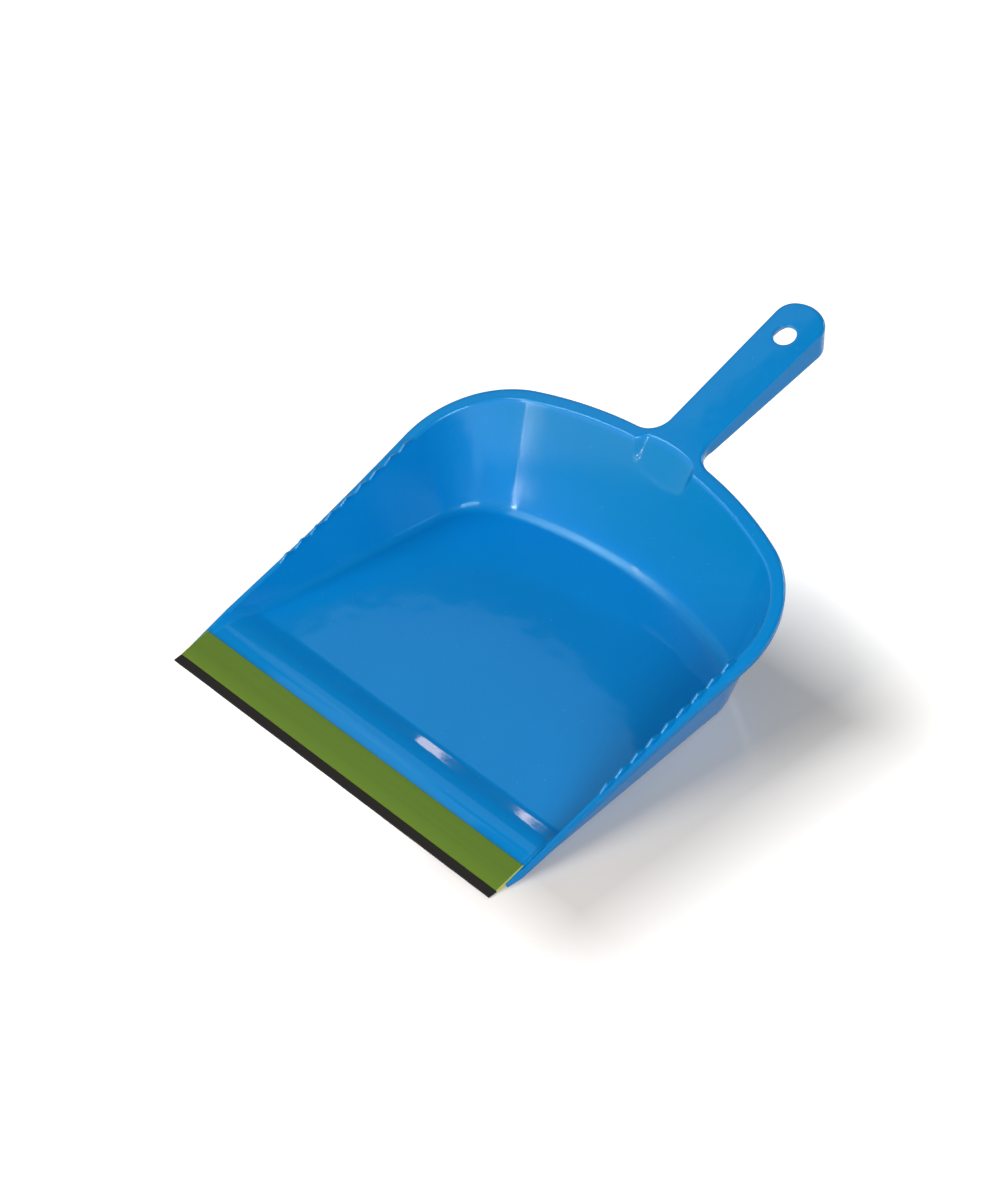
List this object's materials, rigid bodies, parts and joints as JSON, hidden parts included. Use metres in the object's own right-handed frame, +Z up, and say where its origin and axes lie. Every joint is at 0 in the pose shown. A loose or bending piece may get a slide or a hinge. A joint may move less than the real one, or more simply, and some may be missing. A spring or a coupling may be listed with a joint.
{
  "type": "dustpan",
  "caption": "Hand-held dustpan: drafted pan with a flanged rim that runs into a channel handle, comb teeth on the side rims and a soft wiping lip in a push-on carrier strip.",
  "frame": {"origin": "on the ground under the middle of the bounding box, so midway between the lip's front edge and the handle's end", "axes": "+Y from the lip towards the handle's end, +Z up from the ground, +X to the right of a person who looks along +Y"},
  "size_m": [0.236, 0.331, 0.1018],
  "materials": {
    "pan_plastic": "smooth blue moulded polypropylene, half gloss",
    "carrier_plastic": "matt olive green extruded plastic",
    "lip_rubber": "matt black soft rubber"
  },
  "bodies": {
    "pan": {"pan_moulding": "pan_plastic", "lip_carrier": "carrier_plastic"},
    "lip": {"rubber_lip": "lip_rubber"}
  },
  "joints": [
    {"name": "lip_flex", "type": "hinge", "parent": "pan", "child": "lip", "pos_m": [0, -0.161, 0.00075], "axis": [-1, 0, 0], "range_deg": [-20, 30], "stiffness_Nm_per_rad": 0.03}
  ]
}
